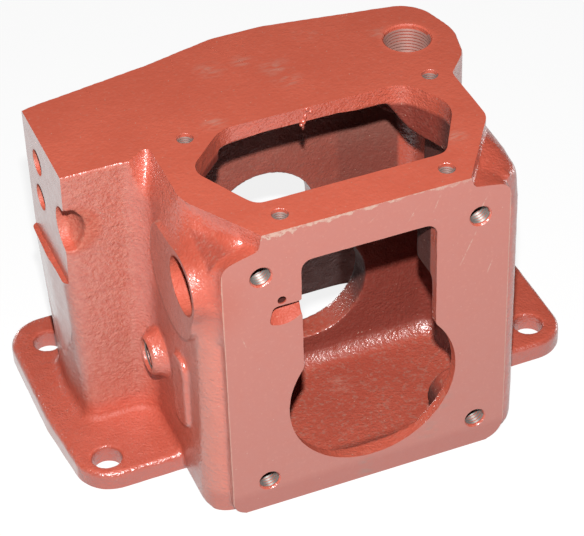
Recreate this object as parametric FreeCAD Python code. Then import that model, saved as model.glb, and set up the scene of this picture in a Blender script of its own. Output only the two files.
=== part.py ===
import FreeCAD, Part
import math
import os

V = FreeCAD.Vector

# A cast iron housing for a pump drive, in millimetres.
# X runs to the right, Y runs from the front face to the rear, Z is up.
# The origin is on the shaft axis, in the plane of the machined front face.

# Heights
axisHeight = 63.0         # shaft axis above the underside of the base
topHeight = 121.0         # machined top face above the shaft axis
flangeThick = 11.0
flangeRim = 1.8           # chamfer round the top of the flange
floorThick = 11.0         # floor of the front chamber
topPlateThick = 11.0
shoulderDrop = 8.0        # from the top face to the shoulder, beside the upper block
shoulderFall = 0.25       # fall of the shoulder per millimetre outwards
partitionTop = 46.0       # top of the wall between the two chambers
thickWallFoot = 58.0      # above this height the front wall is thick

# Body
bodyHalf = 92.8           # from the axis to the left side, at the base
bodyRight = 88.5          # from the axis to the right side
bodyDraft = 2.6           # the left side leans in by this much from the base to the top
bodyFrontCorner = 15.0
rightShoulderDrop = 6.0   # from the top face to the right shoulder, behind its slope
plateStep = 5.0           # the front plate stands this far ahead of the body
plateLeft = 81.0
plateRight = 77.0
blockLeft = 58.5          # front edge of the upper block, left of the axis
blockRight = 54.0
blockHalf = 84.5          # upper block at its widest
wallThick = 12.0
frontWall = 7.0
frontWallThick = 26.0     # beside the upper opening
partitionFront = 88.0
partitionThick = 16.0
rearWallInner = 155.0
rearWallOuter = 171.0

# Base flange
flangeLeft = 152.0
flangeRight = 143.5
flangeFront = 46.5
flangeRear = 187.0
baseHoleR = 8.25
baseHoleLeftX = -131.5
baseHoleRightX = 125.5
baseHoleFrontLeftY = 60.0
baseHoleFrontRightY = 66.5
baseHoleRearY = 164.5

# Slopes that lead from the upper block down to the side walls
bankDrop = 21.0
notchWide = 12.5          # the column's top is cut back beside the upper block
notchDeep = 8.6
notchRight = 87.0
valleyR = 2.5
bankFront = 46.0          # the left slope runs out into the shoulder from here
bankRunOut = 18.0

# Column and its milled pad at the left end
columnFront = 84.0
columnTaper = 6.5         # the column's front stands back by this much at its foot
columnSideTaper = 9.3     # and its left side by this much
columnCornerR = 8.0
columnBlendR = 14.0       # hollow between the column and the body
columnLeft = 142.3        # at the top, before the pad is milled
columnRear = 149.0
padPlane = 134.6
padFoot = 48.5
padHoleR = 7.4
padHoleY = 128.0
padHoleUpperZ = 101.2
padHoleLowerZ = 78.4
padHoleDepth = 16.0
pocketR = 13.5
pocketBehind = 3.0        # pocket centre behind the front of the column
pocketZ = 85.2
pocketDepth = 10.8

# Shaft bores and openings
frontBoreR = 47.5
shaftBoreR = 32.0
innerBoreR = 34.0         # in the wall between the chambers
windowLeft = 38.6
windowRight = 35.8
windowTop = 98.1
windowCorner = 6.0

# Threaded holes, drawn at their core size with a chamfered mouth
frontHoleHalfX = 60.0
frontHoleTopZ = 95.0
frontHoleLowZ = -44.5
frontHoleR = 5.4
frontBossR = 16.0
frontBossEnd = 28.0
coverHoleR = 4.3
coverHoleDepth = 20.0
coverFrontY = 12.4
coverFrontHalf = 45.3
coverRearY = 90.6
coverRearHalf = 69.1
coverMiddleX = 1.2
coverRearMiddleX = 4.0
portX = 76.3
portY = 127.0
portR = 12.35
portDepth = 22.0
portNeckR = 8.0

# Left side of the body
sidePad = 1.0             # how far the round side pad stands proud of the wall's foot
sidePadR = 31.0
sidePadY = 41.0
sidePadZ = 73.5
sideBoreR = 15.8
sideBoreY = 25.0
sideBoreZ = 82.0
sideCollar = 4.0          # wall round the side bore in front of the round pad
sideBossR = 11.5
sideBossLength = 8.0
sideBossFlare = 3.5       # the boss widens by this much at the wall
sideBossRim = 1.5         # chamfer
sideBossY = 73.0
sideBossZ = -0.5
sideHoleR = 8.2
ovalY = 38.5
ovalZ = 0.0
ovalHeight = 2.0

# Oil scoop and drilling in the front face
scoopX = -49.0
scoopZ = 75.5
scoopR = 15.0
scoopDepth = 8.0
drillR = 2.5

# Blends
flangeBlendR = 5.0
floorBlendR = 11.0

base = -axisHeight
shoulderHeight = topHeight - shoulderDrop
flangeTop = base + flangeThick
floorTop = base + floorThick
plateUnder = topHeight - topPlateThick
cavityHalf = bodyHalf - wallThick
cavityRight = bodyRight - wallThick
rightShoulder = topHeight - rightShoulderDrop
partitionRear = partitionFront + partitionThick


def place(u, v, level, plane):
    if plane == "plan":
        return V(u, v, level)
    if plane == "front":
        return V(u, level, v)
    return V(level, u, v)


def outline(corners, level, plane):
    # A closed face from corners (u, v, radius), each rounded to its radius.
    count = len(corners)
    edges = []
    starts = []
    ends = []
    for i in range(count):
        u, v, r = corners[i]
        a = corners[i - 1]
        b = corners[(i + 1) % count]
        p = V(u, v, 0)
        toA = V(a[0] - u, a[1] - v, 0).normalize()
        toB = V(b[0] - u, b[1] - v, 0).normalize()
        if r == 0:
            starts.append(p)
            ends.append(p)
            edges.append(None)
            continue
        # A corner is rounded no further than half of its shorter side.
        half = toA.getAngle(toB) / 2
        room = 0.49 * min(math.hypot(a[0] - u, a[1] - v), math.hypot(b[0] - u, b[1] - v))
        t = min(r / math.tan(half), room)
        r = t * math.tan(half)
        middle = (toA + toB).normalize()
        centre = p + middle * (r / math.sin(half))
        starts.append(p + toA * t)
        ends.append(p + toB * t)
        edges.append(centre - middle * r)
    shapes = []
    for i in range(count):
        s = place(starts[i].x, starts[i].y, level, plane)
        e = place(ends[i].x, ends[i].y, level, plane)
        if edges[i] is not None:
            m = place(edges[i].x, edges[i].y, level, plane)
            shapes.append(Part.Arc(s, m, e).toShape())
        n = place(starts[(i + 1) % count].x, starts[(i + 1) % count].y, level, plane)
        if e.distanceToPoint(n) > 1e-6:
            shapes.append(Part.makeLine(e, n))
    return Part.Face(Part.Wire(shapes))


def upright(corners, low, high):
    return outline(corners, low, "plan").extrude(V(0, 0, high - low))


def along(corners, near, far):
    return outline(corners, near, "front").extrude(V(0, far - near, 0))


def rodY(x, z, r, near, far):
    return Part.makeCylinder(r, far - near, V(x, near, z), V(0, 1, 0))


def rodZ(x, y, r, low, high):
    return Part.makeCylinder(r, high - low, V(x, y, low), V(0, 0, 1))


def rodX(y, z, r, left, right):
    return Part.makeCylinder(r, right - left, V(left, y, z), V(1, 0, 0))


def join(shapes):
    whole = shapes[0].fuse(shapes[1:])
    return whole.removeSplitter()


def frustum(lower, upper, low, high):
    # A solid between two plan outlines whose sides are parallel, one above the other.
    a = [V(x, y, low) for x, y in lower]
    b = [V(x, y, high) for x, y in upper]
    faces = [Part.Face(Part.makePolygon(a + [a[0]])), Part.Face(Part.makePolygon(b + [b[0]]))]
    for i in range(len(a)):
        j = (i + 1) % len(a)
        faces.append(Part.Face(Part.makePolygon([a[i], a[j], b[j], b[i], a[i]])))
    return Part.Solid(Part.makeShell(faces))


def sideAt(z, half):
    # Half width of the body at a height, inside its drafted side.
    return half - bodyDraft * (z - base) / (topHeight - base)


def flange():
    corners = [
        (-flangeLeft + 5.5, flangeFront - 2.0, 21),
        (flangeRight, flangeFront + 2.0, 20),
        (flangeRight, flangeRear, 20),
        (-flangeLeft, flangeRear, 22),
        (-flangeLeft, 105, 60),
    ]
    plate = upright(corners, base, flangeTop)
    rim = []
    for e in plate.Edges:
        if abs(e.BoundBox.ZMin - flangeTop) < 0.01:
            rim.append(e)
    return plate.makeChamfer(flangeRim, rim)


def body(half, lower=0):
    # The section across the body and its plan, each drawn once, cut to their common part.
    crown = shoulderHeight - lower
    edge = crown - shoulderFall * (half - 56)
    section = [
        (-half, base, 5),
        (-sideAt(edge, half), edge, 8),
        (-56, crown, 0),
        (56, crown, 0),
        (bodyRight, crown - shoulderFall * (bodyRight - 56), 8),
        (bodyRight, base, 14),
    ]
    rear = rearWallInner - 15
    plan = [
        (-half, plateStep, bodyFrontCorner),
        (bodyRight, plateStep, bodyFrontCorner - 2),
        (bodyRight, rear, 0),
        (-half, rear, 0),
    ]
    across = along(section, plateStep - 1, rear + 1)
    lengthways = upright(plan, base - 1, shoulderHeight + 1)
    return across.common(lengthways)


def shoulderRight():
    # The right shoulder rises from behind the front plate: its side view, its section
    # and its plan are each drawn once and cut to their common part.
    low = shoulderHeight - 40
    rear = notchRight + 5
    inside = blockRight - 8
    side = [
        (plateStep, low, 0),
        (plateStep, rightShoulder - 4, 0),
        (plateStep + 24, rightShoulder, 40),
        (rear, rightShoulder, 0),
        (rear, low, 0),
    ]
    slope = outline(side, inside, "side").extrude(V(bodyRight + 5 - inside, 0, 0))
    section = [(inside, low, 0), (inside, rightShoulder + 1, 0), (bodyRight, rightShoulder, 11), (bodyRight, low, 0)]
    plan = [(inside, plateStep, 0), (bodyRight, plateStep, bodyFrontCorner), (bodyRight, rear, 0), (inside, rear, 0)]
    across = along(section, plateStep - 1, rear + 1)
    return slope.common(across).common(upright(plan, low - 1, topHeight))


def frontPlate():
    leftFall = shoulderFall * (plateLeft - 56)
    corners = [
        (-plateLeft, base, 9),
        (-plateLeft, shoulderHeight - leftFall, 8),
        (-blockLeft - 2.5, shoulderHeight - 1.2, 2),
        (-blockLeft, topHeight, 0),
        (blockRight, topHeight, 0),
        (blockRight + 2.5, rightShoulder - 0.5, 2),
        (plateRight, rightShoulder - 4, 8),
        (plateRight, base, 13),
    ]
    return along(corners, 0, plateStep + 14)


def upperBlock():
    rear = partitionRear + 6
    corners = [
        (-blockLeft, 0, 0),
        (blockRight, 0, 0),
        (blockHalf, 45, 15),
        (blockHalf, rear, 0),
        (-blockHalf, rear, 0),
        (-blockHalf, 42, 20),
    ]
    return upright(corners, shoulderHeight - 14, topHeight)


def rearOutline(z):
    # Column, rear wall and the round lobe at the right. The column tapers towards its foot.
    share = (topHeight - z) / (topHeight - flangeTop)
    front = columnFront + columnTaper * share
    left = -columnLeft + columnSideTaper * share
    wall = sideAt(z, bodyHalf) - 0.25
    return [
        (-60, bankFront, 0),
        (-wall, bankFront, 0),
        (-wall, front, columnBlendR),
        (left + 2.5, front, columnCornerR),
        (left, 117, 70),
        (left + 2.5, columnRear, 12),
        (-62, rearWallOuter - 9.5, 60),
        (-20, rearWallOuter, 40),
        (8, rearWallOuter, 30),
        (portX + 18.7, portY + 30, 22),
        (portX + 26.9, portY - 3, 25),
        (portX + 22.2, portY - 24, 12),
        (blockHalf, notchRight, 0),
        (60, notchRight, 0),
    ]


def rearBlock():
    lower = outline(rearOutline(base), base, "plan").OuterWire
    upper = outline(rearOutline(topHeight), topHeight, "plan").OuterWire
    return Part.makeLoft([lower, upper], True, True)


def leftBank():
    # Cutter for the slope beside the upper block and the valley it makes with the column.
    # Its face twists: it leaves the wall alone in front and reaches furthest down at the valley.
    low = topHeight - bankDrop - 5
    high = topHeight + 3
    slope = notchDeep / notchWide
    wall = sideAt(low, bodyHalf)
    drift = (wall - blockHalf) / bankDrop
    far = -columnLeft - 5
    outlines = []
    for z in (low, high):
        x = -blockHalf - drift * (topHeight - z)
        y = columnFront + notchDeep + (x + blockHalf) * slope - drift * (topHeight - z) * 1.2
        front = x if z == high else -bodyHalf - sidePad - 4
        corners = [V(x, y, z), V(front, 14, z), V(far, 14, z), V(far, y + (far - x) * slope, z)]
        outlines.append(Part.makePolygon(corners + [corners[0]]))
    cutter = Part.makeLoft(outlines, True, True)
    valley = []
    for e in cutter.Edges:
        top = e.Vertexes[0].Point if e.Vertexes[0].Z > e.Vertexes[-1].Z else e.Vertexes[-1].Point
        if abs(e.Vertexes[0].Z - e.Vertexes[-1].Z) > 1 and top.x > -blockHalf - 1 and top.y > 50:
            valley.append(e)
    return cutter.makeFillet(valleyR, valley)


def bankEnd():
    # In front the left slope sinks into the shoulder and bares the upright wall of the block.
    outlines = []
    for y, top, out, low in ((bankFront, topHeight, blockHalf, topHeight - bankDrop + 2),
                             (bankFront - bankRunOut, shoulderHeight - 4, blockHalf - 2, shoulderHeight - 9)):
        wall = sideAt(low, bodyHalf) - 0.25
        corners = [V(-60, y, top), V(-out, y, top), V(-wall, y, low), V(-60, y, low)]
        outlines.append(Part.makePolygon(corners + [corners[0]]))
    return Part.makeLoft(outlines, True, True)


def rearRing():
    return rodY(0, 0, 46, rearWallInner, rearWallOuter + 2)


def sideDetails():
    # The round pad is trimmed to the body's own form, a little wider, and to its own flat face.
    wide = body(bodyHalf + sidePad + bodyDraft, 3)
    slab = Part.makeBox(40, 200, 300, V(-bodyHalf - sidePad, -10, base))
    disc = rodX(sidePadY, sidePadZ, sidePadR, -bodyHalf - 20, -bodyHalf + 22)
    pad = wide.common(slab).common(disc)
    collar = rodX(sideBoreY, sideBoreZ, sideBoreR + sideCollar, -bodyHalf - sidePad, -bodyHalf + 16)
    wall = -bodyHalf + 2
    flare = Part.makeCone(sideBossR + sideBossFlare, sideBossR, 2 + sideBossLength * 0.6,
                          V(wall, sideBossY, sideBossZ), V(-1, 0, 0))
    boss = rodX(sideBossY, sideBossZ, sideBossR, -bodyHalf - sideBossLength, -bodyHalf + 6)
    face = []
    for e in boss.Edges:
        if e.BoundBox.XMax < -bodyHalf - sideBossLength + 0.01:
            face.append(e)
    boss = boss.makeChamfer(sideBossRim, face)
    oval = outline([(ovalY - 9, ovalZ - 20, 8.5), (ovalY + 11, ovalZ - 27, 8.5),
                    (ovalY + 9, ovalZ + 22, 8.5), (ovalY - 9, ovalZ + 27, 8.5)],
                   -bodyHalf - ovalHeight, "side").extrude(V(ovalHeight + 6, 0, 0))
    return [pad, collar, boss, flare, oval]


def flangeFoot(whole):
    # Edges where the upright walls stand on the flange.
    foot = []
    for e in whole.Edges:
        b = e.BoundBox
        if abs(b.ZMin - flangeTop) < 0.01 and abs(b.ZMax - flangeTop) < 0.01:
            faces = whole.ancestorsOfType(e, Part.Face)
            tall = [f for f in faces if f.BoundBox.ZMax > flangeTop + 15]
            flat = [f for f in faces if f.BoundBox.ZMax - f.BoundBox.ZMin < 0.01]
            if tall and flat:
                foot.append(e)
    return foot


def outer():
    main = join([body(bodyHalf), upperBlock(), rearBlock(), bankEnd()])
    main = main.cut(leftBank())
    whole = join([main, shoulderRight(), frontPlate(), flange(), rearRing()] + sideDetails())
    whole = whole.makeFillet(flangeBlendR, flangeFoot(whole))
    # The pad is milled flat on the rounded end of the column.
    mill = Part.makeBox(20, 120, topHeight - padFoot + 5, V(-padPlane - 20, 60, padFoot))
    return whole.cut(mill)


def frontChamber():
    lower = [
        (-cavityHalf, frontWall, 12),
        (cavityRight, frontWall, 12),
        (cavityRight, partitionFront, 12),
        (-cavityHalf, partitionFront, 12),
    ]
    room = upright(lower, floorTop, thickWallFoot)
    foot = [e for e in room.Edges if e.BoundBox.ZMax < floorTop + 0.01]
    return room.makeFillet(floorBlendR, foot)


def upperChamber():
    corners = [
        (-cavityHalf, frontWallThick, 10),
        (cavityRight, frontWallThick, 10),
        (cavityRight, 100, 0),
        (-cavityHalf, 100, 0),
    ]
    under = upright(corners, partitionTop, 96)
    inset = [
        (-50, frontWallThick, 8),
        (50, frontWallThick, 8),
        (73, 62, 15),
        (73, 104, 0),
        (-73, 104, 0),
        (-73, 62, 15),
    ]
    over = upright(inset, 90, plateUnder)
    return [under, over]


def rearChamber():
    corners = [
        (-cavityHalf, partitionRear, 6),
        (cavityRight, partitionRear, 6),
        (cavityHalf + 9, 118, 12),
        (cavityHalf + 9, 146.5, 22),
        (45, rearWallInner, 30),
        (-45, rearWallInner, 30),
        (-cavityHalf, 147, 16),
    ]
    shaft = upright(corners, base - 1, 96)
    above = [
        (-73, partitionRear - 25, 0),
        (73, partitionRear - 25, 0),
        (73, 140, 16),
        (-73, 140, 16),
    ]
    loft = upright(above, 70, plateUnder)
    bridge = upright([(-cavityHalf, 90, 0), (cavityRight, 90, 0), (cavityRight, 125, 0), (-cavityHalf, 125, 0)],
                     partitionTop, 96)
    return [shaft, loft, bridge]


def cornerLobe():
    # The rear right corner under the top plate is solid down to a sweeping lower edge.
    plan = [
        (40, 90, 8),
        (58, 66, 16),
        (cavityHalf + 2, 54, 0),
        (cavityHalf + 2, coverRearY + 36, 0),
        (40, coverRearY + 36, 0),
    ]
    sweep = [
        (36, plateUnder + 2, 0),
        (47, plateUnder + 1, 7),
        (60, plateUnder - 19, 14),
        (cavityHalf + 4, plateUnder - 25, 0),
        (cavityHalf + 4, plateUnder + 2, 0),
    ]
    return upright(plan, 80, plateUnder + 2).common(along(sweep, 40, coverRearY + 40))


def innerBosses():
    low = rodY(frontHoleHalfX, frontHoleLowZ, frontBossR, frontWall - 2, frontBossEnd)
    low2 = rodY(-frontHoleHalfX, frontHoleLowZ, frontBossR, frontWall - 2, frontBossEnd)
    rr = cornerLobe()
    rl = rodZ(coverRearMiddleX - coverRearHalf, coverRearY, 17, 103, plateUnder + 2)
    port = rodZ(portX, portY, 20, 84, plateUnder + 2)
    return [low, low2, rr, rl, port]


def hollow():
    space = join([frontChamber()] + upperChamber() + rearChamber())
    return space.cut(Part.makeCompound(innerBosses()))


def keyhole():
    window = [
        (-windowLeft, 0, 0),
        (windowRight, 0, 0),
        (windowRight, windowTop, windowCorner),
        (-windowLeft, windowTop, windowCorner),
    ]
    upper = along(window, -1, frontWallThick + 2)
    lower = rodY(0, 0, frontBoreR, -1, frontWall + 2)
    return [upper, lower]


def topOpening():
    corners = [
        (-52, 24.5, 8),
        (52, 24.5, 8),
        (73.5, 62, 20),
        (57, 89.5, 16),
        (-46, 90.5, 18),
        (-72, 64, 12),
    ]
    return upright(corners, plateUnder - 28, topHeight + 1)


def threaded(position, direction, r, depth):
    # A core bore with a short chamfer at its mouth.
    hole = Part.makeCylinder(r, depth + 1, position - direction, direction)
    lead = Part.makeCone(r + 1.2, r, 1.2, position - direction * 0.4, direction)
    return [hole, lead]


def holes():
    cuts = []
    for x in (-frontHoleHalfX, frontHoleHalfX):
        for z in (frontHoleTopZ, frontHoleLowZ):
            cuts += threaded(V(x, 0, z), V(0, 1, 0), frontHoleR, frontBossEnd + 3)
    down = V(0, 0, -1)
    for side in (-1, 1):
        cuts += threaded(V(coverMiddleX + side * coverFrontHalf, coverFrontY, topHeight), down, coverHoleR, coverHoleDepth)
        cuts += threaded(V(coverRearMiddleX + side * coverRearHalf, coverRearY, topHeight), down, coverHoleR, coverHoleDepth)
    cuts += threaded(V(portX, portY, topHeight), down, portR, portDepth)
    cuts.append(rodZ(portX, portY, portNeckR, 80, topHeight - portDepth + 1))
    for x, y in ((baseHoleLeftX, baseHoleFrontLeftY), (baseHoleLeftX, baseHoleRearY),
                 (baseHoleRightX, baseHoleFrontRightY), (baseHoleRightX, baseHoleRearY)):
        cuts.append(rodZ(x, y, baseHoleR, base - 1, flangeTop + 1))
    return cuts


def bores():
    cuts = [rodY(0, 0, innerBoreR, partitionFront - 1, partitionRear + 1)]
    cuts.append(rodY(0, 0, shaftBoreR, rearWallInner - 8, rearWallOuter + 4))
    cuts.append(rodX(sideBoreY, sideBoreZ, sideBoreR, -bodyHalf - 10, -cavityHalf + 6))
    cuts.append(rodX(sideBossY, sideBossZ, sideHoleR, -bodyHalf - 12, -cavityHalf + 4))
    for z in (padHoleUpperZ, padHoleLowerZ):
        cuts.append(rodX(padHoleY, z, padHoleR, -padPlane - 1, -padPlane + padHoleDepth))
    return cuts


def cornerPocket():
    # A round-bottomed pocket on the front corner of the pad.
    y = columnFront + pocketBehind
    ball = Part.makeSphere(18, V(-padPlane + pocketDepth - 18, y, pocketZ))
    sleeve = rodX(y, pocketZ, pocketR, -padPlane - 2, -padPlane + pocketDepth + 2)
    return ball.common(sleeve)


def oilScoop():
    # A fan-shaped scoop beside the window: deepest at the drilling, it runs out along its round edge.
    bowl = Part.makeCone(scoopR + 1, drillR + 1.5, scoopDepth + 0.5, V(scoopX, -0.5, scoopZ), V(0, 1, 0))
    fan = [
        (scoopX - drillR - 1, scoopZ + drillR + 1, 2),
        (scoopX + drillR + 1, scoopZ + drillR + 1, 2),
        (-windowLeft + 1, scoopZ + 1, 0),
        (-windowLeft + 1, scoopZ - scoopR - 3, 0),
        (scoopX - 9.5, scoopZ - scoopR - 3, 0),
    ]
    drill = Part.makeCylinder(drillR, 14, V(scoopX, -1, scoopZ + 1), V(0.2, 0.92, 0.1))
    return [bowl.common(along(fan, -1, scoopDepth + 1)), drill]


def columnPocket():
    corners = [
        (-padPlane + 9, columnFront + 9, 8),
        (-bodyHalf - 8, columnFront + 12, 8),
        (-bodyHalf - 8, columnRear - 12, 8),
        (-padPlane + 9, columnRear - 12, 8),
    ]
    return upright(corners, base - 1, 45)


def housing():
    shape = outer().cut(hollow())
    tools = keyhole() + [topOpening(), columnPocket(), cornerPocket()] + holes() + bores() + oilScoop()
    for tool in tools:
        shape = shape.cut(tool)
    return shape.removeSplitter()


os.makedirs("parts", exist_ok=True)
shape = housing()
print("valid", shape.isValid(), "solids", len(shape.Solids), "volume cm3", round(shape.Volume / 1000, 1))
print("box", shape.BoundBox)
shape.exportStep("parts/pump_drive_housing.step")
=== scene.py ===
import math

import bmesh
import bpy
import numpy as np
from mathutils import Matrix, Vector


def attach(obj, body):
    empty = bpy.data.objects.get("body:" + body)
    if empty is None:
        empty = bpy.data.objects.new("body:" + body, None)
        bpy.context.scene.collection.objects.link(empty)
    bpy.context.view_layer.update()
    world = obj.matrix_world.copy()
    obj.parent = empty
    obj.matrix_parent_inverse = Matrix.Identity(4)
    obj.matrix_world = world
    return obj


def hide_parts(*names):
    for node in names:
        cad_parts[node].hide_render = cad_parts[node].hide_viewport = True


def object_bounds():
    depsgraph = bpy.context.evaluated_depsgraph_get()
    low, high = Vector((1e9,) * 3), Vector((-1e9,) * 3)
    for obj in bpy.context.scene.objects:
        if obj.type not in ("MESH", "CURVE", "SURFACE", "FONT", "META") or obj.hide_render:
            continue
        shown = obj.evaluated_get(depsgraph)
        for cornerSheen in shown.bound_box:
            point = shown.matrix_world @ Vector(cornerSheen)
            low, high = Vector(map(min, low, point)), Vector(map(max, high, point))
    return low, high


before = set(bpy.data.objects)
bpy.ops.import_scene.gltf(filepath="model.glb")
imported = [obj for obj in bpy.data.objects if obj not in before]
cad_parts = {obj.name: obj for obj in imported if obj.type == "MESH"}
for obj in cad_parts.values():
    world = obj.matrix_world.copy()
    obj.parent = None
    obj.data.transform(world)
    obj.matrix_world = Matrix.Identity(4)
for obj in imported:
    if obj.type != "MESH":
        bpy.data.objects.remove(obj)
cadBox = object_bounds()
bpy.context.scene.view_settings.view_transform = "Standard"
nodeName = "pump_drive_housing"
mm = 0.001

# Machined planes of the casting, in millimetres: y, z, z, x and x
planes = {"front": 0.0, "top": 121.0, "base": -63.0, "pad": -134.6, "disc": -93.8}

# The casting, in millimetres
casting = {
    "weld": 0.01,
    "stock": 3.0,            # extra metal on the machined faces before they are cut
    "thinStock": 0.4,        # on the rest of the top, which keeps its cast edges
    "voxel": 1.05,
    "smoothing": 8,          # rounds the cast edges
    "faces": 150000,
    "topLine": 104.0,        # the top is machined in front of this line
    "topSlope": 0.03,        # which slants by this much
    "topSide": -86.0,        # and to the right of this one
    "padFoot": 48.0,         # the pad ends above this height
    "lumpSize": 9.0,         # unevenness of the cast skin
    "lumpHeight": 0.35,
    "softTop": 117.0,        # the top face isn't softened
    "sideBore": (25.0, 82.0, 18.0),    # nor is the side bore: y, z, radius
    "scoopPlug": ((-60, -3, 73.4), (-38.8, 9, 84)),
    "relief": ((-50, 86, 109), (46, 103, 112.3)),
    "reliefTop": 0.45,       # length of its upper side, as a share
    "drillMouth": (-49.4, -2.0, 76.8),
    "drillRadius": 2.4,
    "drillLength": 18,
    "smoothAngle": 32,       # degrees
}

# Kinds of tapped hole: direction, root radius, core radius, depth, pitch, chamfer
frontTap = ("y", 5.55, 4.75, 29.0, 2.0, 0.7)
coverTap = ("z", 4.4, 3.65, 20.0, 1.4, 0.2)
portTap = ("z", 12.9, 12.0, 21.5, 2.0, 0.8)
sideTap = ("x", 8.9, 8.1, 22.0, 1.5, 0.8)

# Tapped holes: mouth x, y, z, and the kind
tappedHoles = [
    (-60.0, 0.0, 95.0, *frontTap), (60.0, 0.0, 95.0, *frontTap),
    (-60.0, 0.0, -44.5, *frontTap), (60.0, 0.0, -44.5, *frontTap),
    (-44.1, 12.4, 121.0, *coverTap), (46.5, 12.4, 121.0, *coverTap),
    (-65.1, 90.6, 121.0, *coverTap), (73.1, 90.6, 121.0, *coverTap),
    (76.3, 127.0, 121.0, *portTap), (-100.8, 73.0, -0.5, *sideTap),
]
plugged = 8    # how many of these, from the first, are filled in the casting and drilled again

# Places where the mould was dressed smooth: x, y, z, radius, passes
softPlaces = [
    (-80, 28, 104, 24, 140), (-82, 12, 101, 17, 100), (-84, 46, 104, 14, 60), (-89, 3, 66, 14, 90),
    (-88, 4, 84, 13, 60), (-86, 84, 107, 12, 40), (-84, 64, 104, 13, 40), (91, 15, 106, 15, 90),
]


def clearSelection():
    if bpy.context.object and bpy.context.object.mode != "OBJECT":
        bpy.ops.object.mode_set(mode="OBJECT")
    bpy.ops.object.select_all(action="DESELECT")


def makeActive(piece):
    clearSelection()
    piece.select_set(True)
    bpy.context.view_layer.objects.active = piece


def applyModifier(piece, kind, **settings):
    makeActive(piece)
    modifier = piece.modifiers.new(kind.lower(), kind)
    for key, value in settings.items():
        setattr(modifier, key, value)
    bpy.ops.object.modifier_apply(modifier=modifier.name)


def setOrigin(piece):
    makeActive(piece)
    bpy.ops.object.transform_apply(location=True, rotation=True, scale=True)


def cutWith(piece, tool):
    applyModifier(piece, "BOOLEAN", operation="DIFFERENCE", object=tool, solver="MANIFOLD")
    bpy.data.objects.remove(tool)


def joinPieces(pieces, name):
    clearSelection()
    for piece in pieces:
        piece.select_set(True)
    bpy.context.view_layer.objects.active = pieces[0]
    bpy.ops.object.join()
    pieces[0].name = name
    return pieces[0]


# Camera, as the photograph was taken
view = {
    "place": (-379.4, -875.2, 865.4),
    "right": (0.9253, -0.3784, -0.0264),
    "forward": (0.2770, 0.7215, -0.6346),
    "focal": 2448.714,    # in pixels of a picture this wide
    "width": 584,
    "sensor": 36,
    "reach": 20,
}


def addCamera():
    bpy.ops.object.camera_add(location=[v * mm for v in view["place"]])
    camera = bpy.context.object
    camera.name = "photoCamera"
    right = Vector(view["right"]).normalized()
    forward = Vector(view["forward"])
    forward = (forward - right * forward.dot(right)).normalized()
    turn = Matrix((right, right.cross(forward), -forward)).transposed()
    camera.matrix_world = Matrix.Translation([v * mm for v in view["place"]]) @ turn.to_4x4()
    camera.data.lens = view["focal"] / view["width"] * view["sensor"]
    camera.data.sensor_width = view["sensor"]
    camera.data.clip_end = view["reach"]
    bpy.context.scene.camera = camera
    print("camera ready")


def beforeLine(centre):
    line = centre.y + casting["topSlope"] * centre.x
    return line < casting["topLine"] * mm and centre.x > casting["topSide"] * mm


def abovePadFoot(centre):
    return centre.z > casting["padFoot"] * mm


def selectPlaneFaces(piece, axis, level, sign, test=None):
    # Selects the faces that lie in one plane and look one way.
    mesh = bmesh.from_edit_mesh(piece.data)
    count = 0
    for face in mesh.faces:
        centre = face.calc_center_median()
        flat = abs(centre[axis] - level) < 0.1 * mm and face.normal[axis] * sign > 0.99
        face.select = flat and (test is None or test(centre))
        count += face.select
    mesh.select_flush_mode()
    bmesh.update_edit_mesh(piece.data)
    return count


def editTopFace(piece):
    # Opens the piece for editing with its upper face selected.
    bpy.ops.object.mode_set(mode="EDIT")
    bpy.ops.mesh.select_mode(type="FACE")
    bpy.ops.mesh.select_all(action="DESELECT")
    mesh = bmesh.from_edit_mesh(piece.data)
    for face in mesh.faces:
        face.select = face.normal.z > 0.9
    bmesh.update_edit_mesh(piece.data)


def addSlab(low, high):
    centre = [(a + b) / 2 * mm for a, b in zip(low, high)]
    size = [(b - a) * mm for a, b in zip(low, high)]
    bpy.ops.mesh.primitive_cube_add(size=1, location=centre, scale=size)
    slab = bpy.context.object
    setOrigin(slab)
    return slab


def addRelief(low, high):
    # The top plate is thinner behind its opening; the relief runs out at both ends.
    relief = addSlab(low, high)
    editTopFace(relief)
    bpy.ops.transform.resize(value=(casting["reliefTop"], 1, 1))
    bpy.ops.object.mode_set(mode="OBJECT")
    return relief


# The way into the metal, and the turn that points a cutter or a thread that way
directions = {
    "y": (Vector((0, 1, 0)), (math.pi / 2, 0, 0)),
    "z": (Vector((0, 0, -1)), (0, 0, 0)),
    "x": (Vector((1, 0, 0)), (0, -math.pi / 2, 0)),
}


def addHoleCutter(mouth, direction, radius, depth, chamfer):
    # Built with its mouth on top, then turned to point into the metal.
    bpy.ops.mesh.primitive_cylinder_add(vertices=48, radius=radius * mm, depth=(depth - chamfer) * mm,
                                        location=(0, 0, -(depth + chamfer) / 2 * mm))
    cutter = bpy.context.object
    setOrigin(cutter)
    editTopFace(cutter)
    wide = (radius + chamfer) / radius
    above = 4    # how far it stands out of the metal
    bpy.ops.mesh.extrude_region_move(TRANSFORM_OT_translate={"value": (0, 0, chamfer * mm)})
    bpy.ops.transform.resize(value=(wide, wide, 1))
    bpy.ops.mesh.extrude_region_move(TRANSFORM_OT_translate={"value": (0, 0, above * mm)})
    bpy.ops.object.mode_set(mode="OBJECT")
    cutter.rotation_euler = directions[direction][1]
    cutter.location = Vector(mouth) * mm
    setOrigin(cutter)
    return cutter


def addDrill(place, way, radius, length):
    turn = Vector(way).to_track_quat("Z", "Y").to_euler()
    centre = (Vector(place) + Vector(way).normalized() * length / 2) * mm
    bpy.ops.mesh.primitive_cylinder_add(vertices=32, radius=radius * mm, depth=length * mm,
                                        location=centre, rotation=turn)
    drill = bpy.context.object
    setOrigin(drill)
    return drill


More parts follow.
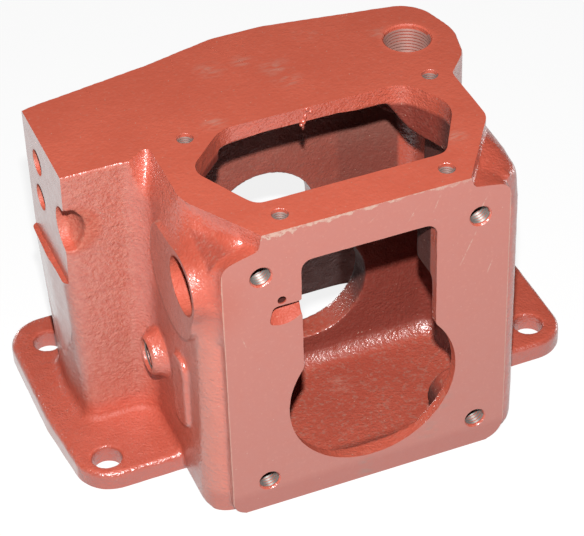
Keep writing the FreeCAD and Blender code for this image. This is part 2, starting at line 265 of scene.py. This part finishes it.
# The threads, in millimetres
thread = {
    "bite": 0.25,       # how far a tooth's root sits in the wall
    "bottom": 2.5,      # the hole is this much deeper than its thread
    "mouth": 0.9,       # the thread starts this far in
    "steps": 36,        # to one turn
    "smoothAngle": 30,
}


def addThread(name, mouth, direction, root, core, depth, pitch):
    # One tooth profile swept into a coil that lines the hole.
    bpy.ops.mesh.primitive_circle_add(vertices=3, radius=mm, rotation=(math.pi / 2, 0, 0))
    coil = bpy.context.object
    coil.name = name
    setOrigin(coil)
    rootRadius = root + thread["bite"]
    corners = [(rootRadius, 0.02), (core, 0.5 * pitch), (rootRadius, pitch * 0.98)]
    for vertex, (out, up) in zip(coil.data.vertices, corners):
        vertex.co = (out * mm, 0, up * mm)
    turns = int((depth - thread["bottom"]) / pitch)
    applyModifier(coil, "SCREW", axis="Z", steps=thread["steps"], render_steps=thread["steps"], iterations=turns,
                  screw_offset=pitch * mm, use_merge_vertices=False)
    bpy.ops.object.mode_set(mode="EDIT")
    bpy.ops.mesh.select_mode(type="EDGE")
    bpy.ops.mesh.select_all(action="DESELECT")
    bpy.ops.mesh.select_non_manifold()
    bpy.ops.mesh.fill_holes(sides=4)
    bpy.ops.mesh.select_all(action="SELECT")
    bpy.ops.mesh.normals_make_consistent(inside=False)
    bpy.ops.object.mode_set(mode="OBJECT")
    coil.location = (0, 0, -(pitch * (turns + 1) + thread["mouth"]) * mm)
    setOrigin(coil)
    coil.rotation_euler = directions[direction][1]
    coil.location = Vector(mouth) * mm
    setOrigin(coil)
    bpy.ops.object.shade_smooth_by_angle(angle=math.radians(thread["smoothAngle"]))
    return coil


# Small lumps left by the mould on the rear rim of the top opening: x, y, z, radius, stretch in z
castLumps = [
    (2.4, 90.6, 119.6, 1.6, 1.0), (4.6, 90.4, 117.4, 1.3, 1.1), (0.2, 90.2, 112.2, 1.5, 1.2),
    (1.4, 90.3, 115.0, 1.2, 1.6), (0.4, 91.2, 108.4, 0.9, 2.6), (-0.6, 90.7, 110.2, 1.3, 0.9),
]


def addLumps(body):
    for x, y, z, radius, stretch in castLumps:
        bpy.ops.mesh.primitive_ico_sphere_add(subdivisions=3, radius=radius * mm, location=(x * mm, y * mm, z * mm),
                                              scale=(1, 1, stretch))
        lump = bpy.context.object
        setOrigin(lump)
        applyModifier(body, "BOOLEAN", operation="UNION", object=lump, solver="MANIFOLD")
        bpy.data.objects.remove(lump)


def addPlugs():
    # Fill the holes that are drilled again after casting, and the upper edge of the oil scoop.
    plugs = []
    for x, y, z, direction, root, core, depth, pitch, chamfer in tappedHoles[:plugged]:
        way = directions[direction][0]
        start = Vector((x, y, z)) - way * casting["stock"]
        plugs.append(addDrill(start, way, root + 2.0, depth))
    plugs.append(addSlab(*casting["scoopPlug"]))
    return plugs


def soften(body):
    # Rounds the shoulder beside the upper block, but neither the top face nor the side bore.
    mesh = body.data
    spots = np.empty(len(mesh.vertices) * 3)
    mesh.vertices.foreach_get("co", spots)
    spots = spots.reshape(-1, 3)
    edges = np.empty(len(mesh.edges) * 2, dtype=np.int64)
    mesh.edges.foreach_get("vertices", edges)
    edges = edges.reshape(-1, 2)
    boreY, boreZ, boreRadius = [v * mm for v in casting["sideBore"]]
    inBore = (np.hypot(spots[:, 1] - boreY, spots[:, 2] - boreZ) < boreRadius) & (spots[:, 0] < -0.07)
    for x, y, z, radius, passes in softPlaces:
        near = np.linalg.norm(spots - np.array((x, y, z)) * mm, axis=1) < radius * mm
        free = near & (spots[:, 2] < casting["softTop"] * mm) & (spots[:, 1] > -0.0005) & ~inBore
        used, ends = np.unique(edges[free[edges].any(axis=1)], return_inverse=True)
        a, b = ends.reshape(-1, 2).T
        local = spots[used]
        count = len(used)
        neighbours = np.bincount(a, minlength=count) + np.bincount(b, minlength=count)
        inner = free[used]
        for step in range(passes):
            for axis in range(3):
                values = local[:, axis]
                total = np.bincount(a, values[b], count) + np.bincount(b, values[a], count)
                local[inner, axis] = 0.5 * values[inner] + 0.5 * (total / neighbours)[inner]
        spots[used] = local
    mesh.vertices.foreach_set("co", spots.ravel())
    mesh.update()


def castBody():
    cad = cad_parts[nodeName]
    makeActive(cad)
    body = cad.copy()
    body.data = cad.data.copy()
    body.name = "housing_casting"
    body.parent = None
    for key in list(body.keys()):
        del body[key]
    bpy.context.scene.collection.objects.link(body)
    makeActive(body)
    bpy.ops.object.mode_set(mode="EDIT")
    bpy.ops.mesh.select_all(action="SELECT")
    bpy.ops.mesh.remove_doubles(threshold=casting["weld"] * mm)
    # The top is machined only round its opening, up to a line across it and one at its left.
    bpy.ops.mesh.select_all(action="SELECT")
    bpy.ops.mesh.bisect(plane_co=(0, casting["topLine"] * mm, 0), plane_no=(casting["topSlope"], 1, 0))
    bpy.ops.mesh.select_all(action="SELECT")
    bpy.ops.mesh.bisect(plane_co=(casting["topSide"] * mm, 0, 0), plane_no=(1, 0, 0))
    bpy.ops.mesh.select_all(action="DESELECT")
    bpy.ops.mesh.select_mode(type="FACE")
    # Stock is left on the faces that are machined afterwards, and a little on the rest of the top.
    stock = casting["stock"]
    thin = casting["thinStock"]
    for axis, plane, sign, extra, test in (
            (1, "front", -1, stock, None), (2, "top", 1, stock, beforeLine), (2, "base", -1, stock, None),
            (0, "pad", -1, stock, abovePadFoot), (0, "disc", -1, stock, None), (2, "top", 1, thin, None)):
        found = selectPlaneFaces(body, axis, planes[plane] * mm, sign, test)
        move = [0, 0, 0]
        move[axis] = sign * extra * mm
        bpy.ops.mesh.extrude_region_move(TRANSFORM_OT_translate={"value": move})
        bpy.ops.mesh.select_all(action="DESELECT")
        print("stock on the", plane, "in", found, "faces")
    bpy.ops.object.mode_set(mode="OBJECT")
    body = joinPieces([body] + addPlugs(), "housing_casting")
    applyModifier(body, "REMESH", mode="VOXEL", voxel_size=casting["voxel"] * mm, adaptivity=0.0)
    applyModifier(body, "SMOOTH", factor=0.5, iterations=casting["smoothing"])
    soften(body)
    clouds = bpy.data.textures.new("castClouds", "CLOUDS")
    clouds.noise_scale = casting["lumpSize"] * mm
    applyModifier(body, "DISPLACE", texture=clouds, texture_coords="LOCAL", mid_level=0.5,
                  strength=casting["lumpHeight"] * mm)
    applyModifier(body, "DECIMATE", ratio=min(1.0, casting["faces"] / (2.0 * len(body.data.polygons))))
    print("cast body", len(body.data.polygons), "faces")
    return body


def machine(body):
    cutWith(body, addRelief(*casting["relief"]))
    addLumps(body)
    for low, high in (((-200, -20, -90), (200, planes["front"], 150)),
                      ((-200, -30, planes["top"]), (200, 220, 150)),
                      ((-200, -30, -90), (200, 220, planes["base"])),
                      ((-170, 60, 48.5), (planes["pad"], 180, 150)),
                      ((-125, -5, 38), (planes["disc"], 77, 110))):
        cutWith(body, addSlab(low, high))
    cutters = []
    for x, y, z, direction, root, core, depth, pitch, chamfer in tappedHoles:
        cutters.append(addHoleCutter((x, y, z), direction, root, depth, chamfer))
    cutters.append(addDrill(casting["drillMouth"], (0, 1, 0), casting["drillRadius"], casting["drillLength"]))
    cutWith(body, joinPieces(cutters, "holeCutters"))
    makeActive(body)
    bpy.ops.object.shade_smooth_by_angle(angle=math.radians(casting["smoothAngle"]))
    # The large flat faces keep their own normals up to the edges.
    applyModifier(body, "WEIGHTED_NORMAL", mode="FACE_AREA", weight=100, keep_sharp=True)
    print("machined body", len(body.data.polygons), "faces")


def addThreads():
    coils = []
    for i, (x, y, z, direction, root, core, depth, pitch, chamfer) in enumerate(tappedHoles):
        coils.append(addThread("thread_%d" % i, (x, y, z), direction, root, core, depth, pitch))
    print("threads", len(coils))
    return joinPieces(coils, "tapped_threads")


# The paint: colours, then gloss, then sizes in millimetres
paint = {
    "colour": (0.545, 0.104, 0.062),
    "dark": (0.475, 0.084, 0.049),
    "bright": (0.63, 0.128, 0.075),     # lighter, on the top face
    "pale": (0.56, 0.21, 0.15),
    # darker: painted shade in the oil scoop
    "scoop": (0.40, 0.070, 0.043),
    "shaded": (0.34, 0.058, 0.034),
    "column": (0.44, 0.096, 0.062),
    "plate": (0.445, 0.124, 0.089),     # on the machined front
    # paler: a painted sheen on the machined pad
    "pad": (0.62, 0.24, 0.18),
    # painted shade inside the chambers, darkest on the walls
    "inside": (0.17, 0.030, 0.021),
    "paintedShadow": (0.075, 0.030, 0.026),     # painted shadow on walls that the light doesn't reach
    # painted shade in the drilled hole at the oil scoop
    "drilling": (0.07, 0.018, 0.014),
    "dust": (0.30, 0.19, 0.15),
    "rubbed": (0.52, 0.26, 0.20),
    "stain": (0.23, 0.16, 0.13),        # on the front
    # bare metal, and painted highlight lines along edges
    "wearAndHighlight": (0.58, 0.40, 0.31),
    "roughness": 0.34,
    "ior": 1.95,
    "coat": 0.5,
    "coatRoughness": 0.22,
    "wideSize": 34.0,         # large patches, then smaller and smaller flecks
    "middleSize": 9.0,
    "fineSize": 2.2,
    "grainSize": 1.1,
    "speckSize": 1.3,
    "streakSize": 7.0,
    "streakTurn": 28,         # degrees
    "glossSize": 6.0,
    "sandSize": 1.4,
    "sandHeight": 0.55,
    "poreSize": 4.5,
    "poreHeight": 0.70,
    "smoothFront": 0.10,      # how much of the sandy skin shows on the machined front
    "smoothTop": 0.30,
}

# Single places in the paint: x, y, z, radius
places = {
    "scoop": (-49, 4, 68, 20),
    "drilling": (-49.4, 5, 76.8, 5.2),
    "boreCorner": (-89, 4, 82, 26),
    "port": (76.3, 127, 112, 24),
}

# Circles on the left side: y, z
discCentre = (41, 73.5)
boreCentre = (25, 82)

# Thin grey patches where the paint is rubbed: x, y, z, radius
rubbedSpots = [
    (41.3, 0, -24.6, 7), (31.5, 0, -42.6, 8), (-10.7, 3, -39.0, 9), (-4.2, 0, -51.0, 6), (-4.3, 0, -59.5, 6),
    (-32.1, 142.7, 121, 10), (1.0, 130.7, 121, 11), (2.6, 117.8, 121, 10), (27.5, 153.0, 121, 9),
    (-46.5, 98.0, 121, 9), (61.8, 35.4, 121, 9), (-13.0, 143.2, 121, 8), (63.6, 138.2, 121, 8),
    (8.0, 62.0, -52, 9), (-38.0, 70.0, -50, 11),
]

# Places without gloss: the pocket, the two holes in the pad, the mouth of the port
dullSpots = [
    (-130, 87, 85, 17), (-129, 128, 101.2, 11), (-129, 128, 78.4, 11), (76.3, 127, 121, 17),
]

# Long scratches in the front face: x and z of the middle, length, slant in degrees
scratchLines = [
    (55.6, 81.0, 34, 66), (35.5, 111.0, 12, 68), (0.9, 112.6, 6, 40), (-70.3, 55.0, 8, -72), (60.0, 100.0, 16, 62),
    (22.0, 108.0, 9, 60), (66.0, 60.0, 10, 70),
]
scratchWidth = 0.5


class Graph:
    # Short hand for building a node tree. Limits of the masks are in metres.
    def __init__(self, material):
        material.use_nodes = True
        self.tree = material.node_tree
        self.nodes = self.tree.nodes
        self.shader = self.nodes["Principled BSDF"]

    def add(self, kind, inputs=None, **settings):
        node = self.nodes.new("ShaderNode" + kind)
        for key, value in settings.items():
            setattr(node, key, value)
        for key, value in (inputs or {}).items():
            self.feed(node.inputs[key], value)
        return node

    def feed(self, socket, value):
        if hasattr(value, "is_linked"):
            self.tree.links.new(value, socket)
        else:
            socket.default_value = value

    def math(self, operation, a, b=0.0, clamp=False):
        node = self.add("Math", {0: a, 1: b}, operation=operation)
        node.use_clamp = clamp
        return node.outputs[0]

    def most(self, first, *others):
        result = first
        for value in others:
            result = self.math("MAXIMUM", result, value)
        return result

    def rest(self, mask):
        # The other way round: 1 where the mask is 0
        return self.math("SUBTRACT", 1.0, mask)

    def ramp(self, value, low, high, a=0.0, b=1.0):
        node = self.add("MapRange", {"Value": value, "From Min": low, "From Max": high, "To Min": a, "To Max": b})
        return node.outputs[0]

    def times(self, *values):
        result = values[0]
        for value in values[1:]:
            result = self.math("MULTIPLY", result, value)
        return result

    def spot(self, place, x, y, z, radius):
        # 1 at the centre, fading to 0 at the radius
        away = self.add("VectorMath", {0: place, 1: Vector((x, y, z)) * mm}, operation="DISTANCE").outputs["Value"]
        return self.ramp(away, radius * mm, 0.0)

    def sideways(self, place, y, z):
        # Distance from a line that runs across the object
        flat = self.add("VectorMath", {0: place, 1: (0, 1, 1)}, operation="MULTIPLY").outputs["Vector"]
        return self.add("VectorMath", {0: flat, 1: (0, y * mm, z * mm)}, operation="DISTANCE").outputs["Value"]

    def line(self, axes, x, z, length, slant, width):
        # 1 along a short straight line in the front face
        c, s = math.cos(math.radians(slant)), math.sin(math.radians(slant))
        dx = self.math("SUBTRACT", axes[0], x * mm)
        dz = self.math("SUBTRACT", axes[2], z * mm)
        along = self.math("ADD", self.math("MULTIPLY", dx, c), self.math("MULTIPLY", dz, s))
        across = self.math("SUBTRACT", self.math("MULTIPLY", dx, s), self.math("MULTIPLY", dz, c))
        inLength = self.ramp(self.math("ABSOLUTE", along), length / 2 * mm, (length / 2 - 3) * mm)
        inWidth = self.ramp(self.math("ABSOLUTE", across), width * mm, 0.0)
        return self.math("MULTIPLY", inLength, inWidth)

    def noise(self, place, size, detail=4.0, roughness=0.55):
        node = self.add("TexNoise", {"Vector": place, "Scale": 1.0 / (size * mm), "Detail": detail,
                                     "Roughness": roughness})
        return node.outputs["Fac"]

    def mix(self, share, a, b):
        node = self.add("Mix", data_type="RGBA")
        self.feed(node.inputs["Factor"], share)
        self.feed(node.inputs["A"], a if not isinstance(a, tuple) else (*a, 1))
        self.feed(node.inputs["B"], b if not isinstance(b, tuple) else (*b, 1))
        return node.outputs["Result"]


def shadedMask(g, axes, facing, foot):
    # Where less light falls in the photograph: beside the column, at the right of the front, in the foot's hollow,
    # and round the flange's rim
    x, y, z = axes
    beside = g.times(g.ramp(facing[0], -0.80, -0.95), g.ramp(x, -0.098, -0.095), g.ramp(y, 0.035, 0.060),
                     g.ramp(z, 0.05, 0.03), 0.75)
    right = g.times(g.ramp(x, 0.060, 0.079), g.ramp(z, 0.085, 0.095), g.ramp(z, 0.1185, 0.1165),
                    g.ramp(y, 0.0005, 0.002), 0.7)
    rim = g.times(g.ramp(z, -0.048, -0.053), g.ramp(facing[1], -0.3, -0.6), 0.5)
    return g.most(beside, right, g.math("MULTIPLY", foot, 0.6), rim)


def rubbedMask(g, place):
    rubbed = 0.0
    for patch in rubbedSpots:
        rubbed = g.math("MAXIMUM", g.spot(place, *patch), rubbed)
    turned = g.add("Mapping", {"Vector": place, "Rotation": (0, 0, math.radians(paint["streakTurn"])),
                               "Scale": (1, 3, 2)}).outputs[0]
    streaks = g.add("TexNoise", {"Vector": turned, "Scale": 1.0 / (paint["streakSize"] * mm),
                                 "Detail": 5.0}).outputs["Fac"]
    return g.times(rubbed, g.ramp(streaks, 0.44, 0.64), 0.55)


def wearAndHighlightMask(g, place, axes, front, middle, fine):
    # Bare metal and painted highlights: scratches, chipped paint along the top edge of the front face that is partly a
    # painted highlight, specks, and painted highlight lines along the sides of the front face and round the edge of
    # the disc on the left side
    x, y, z = axes
    scratched = 0.0
    for scratch in scratchLines:
        scratched = g.math("MAXIMUM", g.line(axes, *scratch, scratchWidth), scratched)
    scratched = g.times(scratched, front, g.ramp(fine, 0.40, 0.52), 0.55)
    # Chipped paint along the top edge of the front face, partly a painted highlight line
    edgeWidth = g.ramp(middle, 0.42, 0.70, 0.0004, 0.0044)
    edgeWidth = g.math("ADD", edgeWidth, g.times(g.ramp(x, -0.030, -0.055), g.ramp(fine, 0.35, 0.6), 0.003))
    edge = g.math("LESS_THAN", g.math("SUBTRACT", 0.1212, z), edgeWidth)
    edge = g.times(edge, front, g.ramp(x, 0.050, 0.030, 0.45, 1.0), g.ramp(fine, 0.38, 0.55, 0.2, 0.7))
    # Painted highlight lines along the sides of the front face
    sides = g.math("MAXIMUM", g.ramp(x, -0.0803, -0.0808), g.ramp(x, 0.0763, 0.0768))
    edge = g.math("MAXIMUM", edge, g.times(sides, front, g.ramp(fine, 0.36, 0.5, 0.2, 0.5)))
    specks = g.times(g.ramp(g.noise(place, paint["speckSize"], 0.0), 0.83, 0.86), 0.5)
    # A painted highlight line round the edge of the disc
    discHighlight = g.math("ABSOLUTE", g.math("SUBTRACT", g.sideways(place, *discCentre), 31 * mm))
    discHighlight = g.times(g.ramp(discHighlight, 0.0009, 0.0004), g.ramp(x, -0.0915, -0.0925), g.ramp(x, -0.096, -0.095),
                   g.ramp(y, 0.032, 0.045), 0.35)
    return g.math("MAXIMUM", g.math("MAXIMUM", scratched, edge), g.math("MAXIMUM", specks, discHighlight))


def paintMaterial():
    material = bpy.data.materials.new("redOxidePaint")
    g = Graph(material)
    place = g.add("TexCoord").outputs["Object"]
    normal = g.add("NewGeometry").outputs["Normal"]
    axes = x, y, z = g.add("SeparateXYZ", {0: place}).outputs
    facing = g.add("SeparateXYZ", {0: normal}).outputs
    wide = g.noise(place, paint["wideSize"], 5.0)
    middle = g.noise(place, paint["middleSize"], 5.0, 0.6)
    fine = g.noise(place, paint["fineSize"], 3.0)
    grain = g.noise(place, paint["grainSize"], 2.0)
    # Machined faces: the front, the pad, and the top round the opening
    front = g.math("MULTIPLY", g.ramp(y, 0.0004, 0.0002), g.ramp(facing[1], -0.97, -0.99))
    top = g.math("MULTIPLY", g.ramp(z, 0.1206, 0.1208), g.ramp(facing[2], 0.97, 0.99))
    pad = g.math("MULTIPLY", g.ramp(x, -0.1342, -0.1344), g.ramp(facing[0], -0.97, -0.99))
    flat = g.math("ADD", front, pad, clamp=True)
    # Inside the chambers: painted shade, dust, and nearly matt paint.
    across = g.math("ABSOLUTE", g.math("ADD", x, 0.0021))
    inside = g.times(g.ramp(across, 0.0835, 0.0815), g.ramp(y, 0.0072, 0.0085), g.ramp(y, 0.1565, 0.1545),
                     g.ramp(z, 0.1105, 0.108))
    upright = g.rest(g.ramp(facing[2], 0.3, 0.8))
    turned = g.times(inside, g.ramp(facing[1], -0.5, 0.1), upright)
    scoop = g.times(g.ramp(g.spot(place, *places["scoop"]), 0.0, 0.2), g.rest(front))
    # Painted sheen on the left front corner of the body
    cornerSheen = g.times(g.ramp(x, -0.076, -0.084), g.ramp(y, 0.034, 0.014), g.ramp(z, 0.085, 0.055))
    foot = g.times(g.ramp(z, -0.040, -0.045), g.ramp(z, -0.0530, -0.0515), g.ramp(x, -0.090, -0.095),
                   g.ramp(facing[2], 0.10, 0.25), 0.9)
    column = g.times(g.ramp(x, -0.092, -0.102), g.ramp(facing[2], 0.8, 0.5), g.ramp(z, -0.045, -0.038))
    drilling = g.times(g.ramp(g.spot(place, *places["drilling"]), 0.0, 0.1), g.ramp(y, 0.0005, 0.0012))
    # Colour, from the outside to the machined faces
    colour = g.mix(g.ramp(wide, 0.36, 0.62), paint["dark"], paint["colour"])
    colour = g.mix(g.math("MULTIPLY", top, 0.5), colour, paint["bright"])
    # A painted sheen, paler on the left front corner of the body
    colour = g.mix(g.math("MULTIPLY", cornerSheen, 0.45), colour, paint["pale"])
    # Painted shade in the oil scoop
    colour = g.mix(g.math("MULTIPLY", scoop, 0.75), colour, paint["scoop"])
    colour = g.mix(front, colour, paint["plate"])
    # A painted sheen on the machined pad
    colour = g.mix(pad, colour, paint["pad"])
    colour = g.mix(g.math("MULTIPLY", g.ramp(fine, 0.55, 0.72), 0.28), colour, paint["pale"])
    colour = g.mix(g.times(g.ramp(grain, 0.52, 0.68), 0.30, g.rest(front)), colour, paint["dark"])
    # Painted shade: darker to the right and at the foot, where less light falls
    falloffShade = g.ramp(g.math("SUBTRACT", x, g.math("MULTIPLY", z, 0.5)), 0.0, 0.17, 0.0, 0.45)
    colour = g.mix(g.times(falloffShade, g.rest(flat)), colour, paint["dark"])
    colour = g.mix(shadedMask(g, axes, facing, foot), colour, paint["shaded"])
    flecks = g.math("ADD", g.ramp(fine, 0.40, 0.62, 0.0, 0.40), g.ramp(middle, 0.35, 0.70, 0.0, 0.10))
    colour = g.mix(column, colour, g.mix(flecks, paint["column"], paint["pale"]))
    # Painted shade in the chambers and in the drilling, with dust in the chambers
    colour = g.mix(g.math("MULTIPLY", inside, g.ramp(upright, 0.0, 1.0, 0.42, 0.92)), colour, paint["inside"])
    colour = g.mix(turned, colour, paint["paintedShadow"])
    # Painted shade in the drilled hole
    colour = g.mix(drilling, colour, paint["drilling"])
    dusty = g.times(inside, g.ramp(fine, 0.50, 0.70), g.ramp(upright, 0.0, 1.0, 0.34, 0.10))
    dusty = g.math("ADD", dusty, g.times(inside, g.ramp(y, 0.125, 0.135), g.ramp(z, 0.03, 0.08, 0.1, 0.5)))
    colour = g.mix(dusty, colour, paint["dust"])
    colour = g.mix(rubbedMask(g, place), colour, g.mix(front, paint["rubbed"], paint["stain"]))
    wearAndHighlight = wearAndHighlightMask(g, place, axes, front, middle, fine)
    colour = g.mix(wearAndHighlight, colour, paint["wearAndHighlight"])
    g.feed(g.shader.inputs["Base Color"], colour)
    # Gloss: semi-gloss outside, nearly matt in the chambers and the oil scoop
    bore = g.times(g.ramp(g.sideways(place, *boreCentre), 0.0166, 0.0160), g.ramp(x, -0.060, -0.065))
    dull = 0.0
    for spot in dullSpots:
        dull = g.math("MAXIMUM", g.ramp(g.spot(place, *spot), 0.0, 0.25), dull)
    fillet = g.times(inside, g.ramp(facing[2], 0.30, 0.50), g.ramp(facing[2], 0.96, 0.85),
                     g.ramp(x, -0.02, 0.02, 0.5, 1.0))
    boreCorner = g.times(g.ramp(g.spot(place, *places["boreCorner"]), 0.0, 0.8), 0.5)
    matt = g.math("ADD", g.math("ADD", g.math("SUBTRACT", inside, fillet), scoop),
                  g.math("ADD", bore, g.most(dull, foot, boreCorner)), clamp=True)
    rough = g.ramp(g.noise(place, paint["glossSize"], 4.0), 0.3, 0.75,
                   paint["roughness"] - 0.06, paint["roughness"] + 0.12)
    rough = g.math("ADD", rough, g.times(matt, 0.22))
    g.feed(g.shader.inputs["Roughness"], rough)
    g.feed(g.shader.inputs["Specular IOR Level"], g.ramp(matt, 0.0, 1.0, 0.5, 0.12))
    g.shader.inputs["IOR"].default_value = paint["ior"]
    g.feed(g.shader.inputs["Coat Weight"], g.math("ADD", g.ramp(matt, 0.0, 1.0, paint["coat"], 0.0), pad, clamp=True))
    g.shader.inputs["Coat Roughness"].default_value = paint["coatRoughness"]
    # Sandy skin under the paint
    sand = g.noise(place, paint["sandSize"], 2.0, 0.5)
    pores = g.noise(place, paint["poreSize"], 4.0, 0.6)
    strength = g.times(g.ramp(wide, 0.35, 0.65, 0.6, 1.1), g.ramp(top, 0.0, 1.0, 1.0, paint["smoothTop"]),
                       g.ramp(flat, 0.0, 1.0, 1.0, paint["smoothFront"]))
    skin = g.math("ADD", g.math("MULTIPLY", sand, paint["sandHeight"]), g.math("MULTIPLY", pores, paint["poreHeight"]))
    skin = g.times(skin, strength)
    skin = g.math("SUBTRACT", skin, g.math("MULTIPLY", wearAndHighlight, 0.12))
    bump = g.add("Bump", {"Height": skin, "Distance": mm, "Strength": 1.0})
    g.feed(g.shader.inputs["Normal"], bump.outputs["Normal"])
    g.feed(g.shader.inputs["Coat Normal"], bump.outputs["Normal"])
    return material


# Bare metal of the threads
metal = {
    "colour": (0.21, 0.195, 0.18),
    "painted": (0.36, 0.13, 0.10),
    "deepShade": (0.02, 0.015, 0.013),
    "stainSize": 3.0,      # millimetres
    "metallic": 0.6,
    "roughness": 0.48,
}


def threadMaterial():
    material = bpy.data.materials.new("bareThread")
    g = Graph(material)
    place = g.add("TexCoord").outputs["Object"]
    x, y, z = g.add("SeparateXYZ", {0: place}).outputs
    # The port's thread has paint on it; deep in the front holes and the cover holes the metal gets a painted shade,
    # nearly black.
    painted = g.times(g.ramp(g.spot(place, *places["port"]), 0.0, 0.3), 0.65)
    painted = g.math("MAXIMUM", painted, g.ramp(z, 0.098, 0.101, 0.0, 0.3))
    stained = g.times(g.ramp(g.noise(place, metal["stainSize"], 3.0), 0.60, 0.70), 0.4)
    stain = g.math("MAXIMUM", painted, stained)
    colour = g.mix(stain, metal["colour"], metal["painted"])
    # Painted shade deep in the front holes and the cover holes
    deepFront = g.times(g.ramp(y, 0.008, 0.013), g.ramp(y, 0.040, 0.035), g.ramp(z, 0.104, 0.102))
    deepTop = g.times(g.ramp(z, 0.116, 0.112), g.ramp(z, 0.1, 0.101), g.ramp(y, 0.1, 0.099))
    colour = g.mix(g.math("ADD", deepFront, deepTop, clamp=True), colour, metal["deepShade"])
    g.feed(g.shader.inputs["Base Color"], colour)
    g.feed(g.shader.inputs["Metallic"], g.ramp(stain, 0.0, 1.0, metal["metallic"], 0.0))
    g.shader.inputs["Roughness"].default_value = metal["roughness"]
    return material


# Lamps: name, place in millimetres, size, power
lamps = [
    ("cameraFlash", (-341.8, -791.1, 977.4), 0.035, 29.0),
    ("rearFill", (-350, 1750, 30), 0.16, 6.0),     # both fills stand lower than the top face
    ("rightFill", (1700, 500, 30), 0.16, 4.0),
]

studio = {
    "aim": (0, 0.08, 0.02),
    "worldColour": (0.94, 0.96, 1.0),
    "worldStrength": 0.018,
    "floorSize": 10,
    "floorColour": (0.16, 0.16, 0.16),   # towards the object
    "paperColour": (0.95, 0.95, 0.95),   # towards the camera
    "paperWhite": 1.0,
    "paperShine": 1.12,       # as seen in the glossy paint
    "paperShare": 0.86,       # the rest of the paper keeps the shadow
    "paperRoughness": 0.9,
}


def addLamp(name, place, size, power):
    bpy.ops.object.light_add(type="AREA", location=[v * mm for v in place])
    lamp = bpy.context.object
    lamp.name = name
    lamp.data.shape = "DISK"
    lamp.data.size = size
    lamp.data.energy = power
    lamp.rotation_euler = (Vector(studio["aim"]) - lamp.location).to_track_quat("-Z", "Y").to_euler()


def addStudio(floorLevel):
    world = bpy.data.worlds.new("studio")
    bpy.context.scene.world = world
    world.use_nodes = True
    room = world.node_tree.nodes["Background"]
    room.inputs["Color"].default_value = (*studio["worldColour"], 1)
    room.inputs["Strength"].default_value = studio["worldStrength"]
    for lamp in lamps:
        addLamp(*lamp)
    bpy.ops.mesh.primitive_plane_add(size=studio["floorSize"], location=(0, 0.5, floorLevel))
    floor = bpy.context.object
    floor.name = "studioFloor"
    setOrigin(floor)
    # The paper is white to the camera and in the gloss, and dim to everything else.
    paper = bpy.data.materials.new("palePaper")
    g = Graph(paper)
    g.shader.inputs["Roughness"].default_value = studio["paperRoughness"]
    g.shader.inputs["Specular IOR Level"].default_value = 0.2
    rays = g.add("LightPath").outputs
    seen = rays["Is Camera Ray"]
    g.feed(g.shader.inputs["Base Color"], g.mix(seen, studio["floorColour"], studio["paperColour"]))
    white = g.add("Emission", {"Strength": g.ramp(seen, 0.0, 1.0, studio["paperShine"], studio["paperWhite"])})
    share = g.math("MULTIPLY", g.math("MAXIMUM", seen, rays["Is Glossy Ray"]), studio["paperShare"])
    both = g.add("MixShader", {0: share, 1: g.shader.outputs[0], 2: white.outputs[0]})
    g.feed(g.nodes["Material Output"].inputs["Surface"], both.outputs[0])
    floor.data.materials.append(paper)
    print("studio ready")


addCamera()
body = castBody()
machine(body)
threads = addThreads()
body.data.materials.clear()
body.data.materials.append(paintMaterial())
threads.data.materials.append(threadMaterial())
for piece in (body, threads):
    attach(piece, "root")
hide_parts(nodeName)
addStudio(cadBox[0][2])
print("pieces ready")
